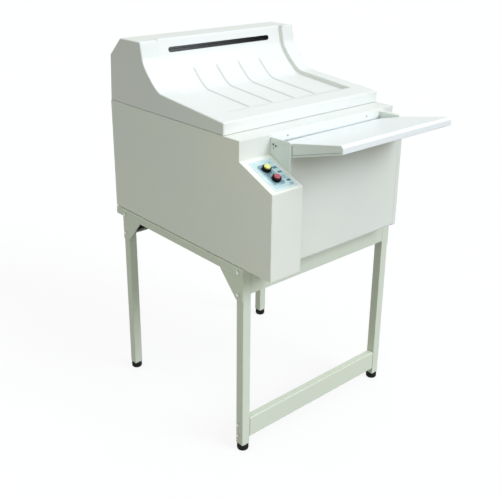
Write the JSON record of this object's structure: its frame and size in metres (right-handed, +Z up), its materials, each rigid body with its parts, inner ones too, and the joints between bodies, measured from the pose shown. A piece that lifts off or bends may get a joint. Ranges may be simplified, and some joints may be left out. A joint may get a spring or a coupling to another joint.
{
  "type": "dental x-ray film processor",
  "caption": "Automatic dental x-ray film processor on a tube stand: boxy body, hinged moulded cover with film slot and receiver, feed tray, side console with push buttons.",
  "frame": {"origin": "centre of the bounding box on the floor, under the four rubber feet", "axes": "+Z up; -Y towards the front with the feed tray and console; +X to the right as seen from the front; the console is on the left"},
  "size_m": [0.6124, 0.877, 1.123],
  "materials": {
    "cover_white": "moulded, semi-gloss",
    "body_white": "fine textured enamel",
    "panel_white": "satin enamel",
    "guide_white": "satin enamel",
    "tray_grey": "satin enamel",
    "stand_green": "semi-gloss enamel",
    "bare_steel": "galvanised sheet",
    "stainless": "ground stainless",
    "zinc": "bright zinc",
    "dark_screw": "blackened",
    "label_blue": "printed film",
    "black_plastic": "fine matte",
    "cap_yellow": "semi-gloss",
    "cap_red": "semi-gloss",
    "rubber_black": "moulded",
    "tank_plastic": "moulded PVC",
    "bush_white": "acetal",
    "roller_rubber": "ground rubber",
    "roller_phenolic": "phenolic tube",
    "motor_grey": "painted casting",
    "pump_grey": "moulded",
    "aluminium_fan": "as pressed",
    "board_green": "solder mask"
  },
  "bodies": {
    "frame": {"base_pan": "bare_steel", "bearings": "bush_white", "button_bezels": "black_plastic", "console_cover": "body_white", "contact_blocks": "black_plastic", "control_board": "board_green", "developer_tank": "tank_plastic", "drive_motor": "motor_grey", "dryer_duct": "bare_steel", "dryer_heater": "stainless", "exhaust_collar": "bare_steel", "fan_motor": "motor_grey", "feed_guide_left": "guide_white", "feed_guide_right": "guide_white", "fixer_tank": "tank_plastic", "frame_bolts": "zinc", "front_fascia": "panel_white", "front_panel": "panel_white", "front_top_rail": "stand_green", "gusset_plates": "stand_green", "hinge_leaves_body": "bare_steel", "hose_tails": "black_plastic", "label_plate": "label_blue", "left_side_panel": "body_white", "leg_front_left": "stand_green", "leg_front_right": "stand_green", "leg_rear_left": "stand_green", "leg_rear_right": "stand_green", "lower_front_rail": "stand_green", "panel_screws": "dark_screw", "pivot_pins": "stainless", "power_inlet": "black_plastic", "rear_panel": "body_white", "rear_top_rail": "stand_green", "recirculation_pumps": "pump_grey", "right_side_panel": "body_white", "roller_side_plates": "tank_plastic", "rubber_feet": "rubber_black", "side_rail_left": "stand_green", "side_rail_right": "stand_green", "wash_tank": "tank_plastic"},
    "lid": {"top_cover": "cover_white", "exit_slot_trim": "black_plastic", "hinge_leaves_lid": "bare_steel"},
    "feed_tray": {"feed_tray": "tray_grey"},
    "start_button": {"start_button": "cap_yellow"},
    "stop_button": {"stop_button": "cap_red"},
    "power_rocker": {"power_rocker": "black_plastic"},
    "drive_shaft": {"drive_shaft": "stainless"},
    "dryer_fan": {"dryer_fan": "aluminium_fan"},
    "feed_roller_lower": {"feed_roller_lower": "roller_rubber"},
    "feed_roller_upper": {"feed_roller_upper": "roller_rubber"},
    "developer_top_roller": {"developer_top_roller": "roller_rubber"},
    "developer_drum": {"developer_drum": "roller_phenolic"},
    "fixer_top_roller": {"fixer_top_roller": "roller_rubber"},
    "fixer_drum": {"fixer_drum": "roller_phenolic"},
    "wash_top_roller": {"wash_top_roller": "roller_rubber"},
    "wash_drum": {"wash_drum": "roller_phenolic"},
    "exit_roller_lower": {"exit_roller_lower": "roller_rubber"},
    "exit_roller_upper": {"exit_roller_upper": "roller_rubber"}
  },
  "joints": [
    {"name": "lid_hinge", "type": "hinge", "parent": "frame", "child": "lid", "pos_m": [0, 0.4135, 0.93], "axis": [-1, 0, 0], "range_deg": [0, 85]},
    {"name": "tray_hinge", "type": "hinge", "parent": "frame", "child": "feed_tray", "pos_m": [0, -0.207, 0.8935], "axis": [-1, 0, 0], "range_deg": [0, 70]},
    {"name": "start_press", "type": "slide", "parent": "frame", "child": "start_button", "axis": [0, 0.402, -0.9156], "range_m": [0, 0.003], "stiffness_N_per_m": 300, "springref_m": -0.002},
    {"name": "stop_press", "type": "slide", "parent": "frame", "child": "stop_button", "axis": [0, 0.402, -0.9156], "range_m": [0, 0.003], "stiffness_N_per_m": 300, "springref_m": -0.002},
    {"name": "rocker_tilt", "type": "hinge", "parent": "frame", "child": "power_rocker", "pos_m": [-0.196, 0.4025, 0.625], "axis": [-1, 0, 0], "range_deg": [0, 16]},
    {"name": "drive_shaft_spin", "type": "hinge", "parent": "frame", "child": "drive_shaft", "pos_m": [-0.236, 0.0215, 0.862], "axis": [0, 1, 0], "continuous": true},
    {"name": "fan_spin", "type": "hinge", "parent": "frame", "child": "dryer_fan", "pos_m": [0, 0.3015, 0.65], "axis": [1, 0, 0], "continuous": true},
    {"name": "feed_roller_lower_spin", "type": "hinge", "parent": "frame", "child": "feed_roller_lower", "pos_m": [0, -0.1685, 0.8867], "axis": [1, 0, 0], "continuous": true},
    {"name": "feed_roller_upper_spin", "type": "hinge", "parent": "frame", "child": "feed_roller_upper", "pos_m": [0, -0.1685, 0.9073], "axis": [1, 0, 0], "continuous": true},
    {"name": "developer_top_roller_spin", "type": "hinge", "parent": "frame", "child": "developer_top_roller", "pos_m": [0, -0.0865, 0.888], "axis": [1, 0, 0], "continuous": true},
    {"name": "developer_drum_spin", "type": "hinge", "parent": "frame", "child": "developer_drum", "pos_m": [0, -0.0865, 0.835], "axis": [1, 0, 0], "continuous": true},
    {"name": "fixer_top_roller_spin", "type": "hinge", "parent": "frame", "child": "fixer_top_roller", "pos_m": [0, 0.0395, 0.888], "axis": [1, 0, 0], "continuous": true},
    {"name": "fixer_drum_spin", "type": "hinge", "parent": "frame", "child": "fixer_drum", "pos_m": [0, 0.0395, 0.835], "axis": [1, 0, 0], "continuous": true},
    {"name": "wash_top_roller_spin", "type": "hinge", "parent": "frame", "child": "wash_top_roller", "pos_m": [0, 0.1655, 0.888], "axis": [1, 0, 0], "continuous": true},
    {"name": "wash_drum_spin", "type": "hinge", "parent": "frame", "child": "wash_drum", "pos_m": [0, 0.1655, 0.835], "axis": [1, 0, 0], "continuous": true},
    {"name": "exit_roller_lower_spin", "type": "hinge", "parent": "frame", "child": "exit_roller_lower", "pos_m": [0, 0.3035, 1.081], "axis": [1, 0, 0], "continuous": true},
    {"name": "exit_roller_upper_spin", "type": "hinge", "parent": "frame", "child": "exit_roller_upper", "pos_m": [0, 0.3035, 1.1008], "axis": [1, 0, 0], "continuous": true}
  ],
  "couplings": [
    {"joint": "feed_roller_lower_spin", "follows": "drive_shaft_spin", "ratio": 0.055556},
    {"joint": "feed_roller_upper_spin", "follows": "drive_shaft_spin", "ratio": -0.055556},
    {"joint": "developer_top_roller_spin", "follows": "drive_shaft_spin", "ratio": 0.055556},
    {"joint": "developer_drum_spin", "follows": "drive_shaft_spin", "ratio": -0.01686},
    {"joint": "fixer_top_roller_spin", "follows": "drive_shaft_spin", "ratio": 0.055556},
    {"joint": "fixer_drum_spin", "follows": "drive_shaft_spin", "ratio": -0.01686},
    {"joint": "wash_top_roller_spin", "follows": "drive_shaft_spin", "ratio": 0.055556},
    {"joint": "wash_drum_spin", "follows": "drive_shaft_spin", "ratio": -0.01686},
    {"joint": "exit_roller_lower_spin", "follows": "drive_shaft_spin", "ratio": 0.055556},
    {"joint": "exit_roller_upper_spin", "follows": "drive_shaft_spin", "ratio": -0.055556}
  ]
}
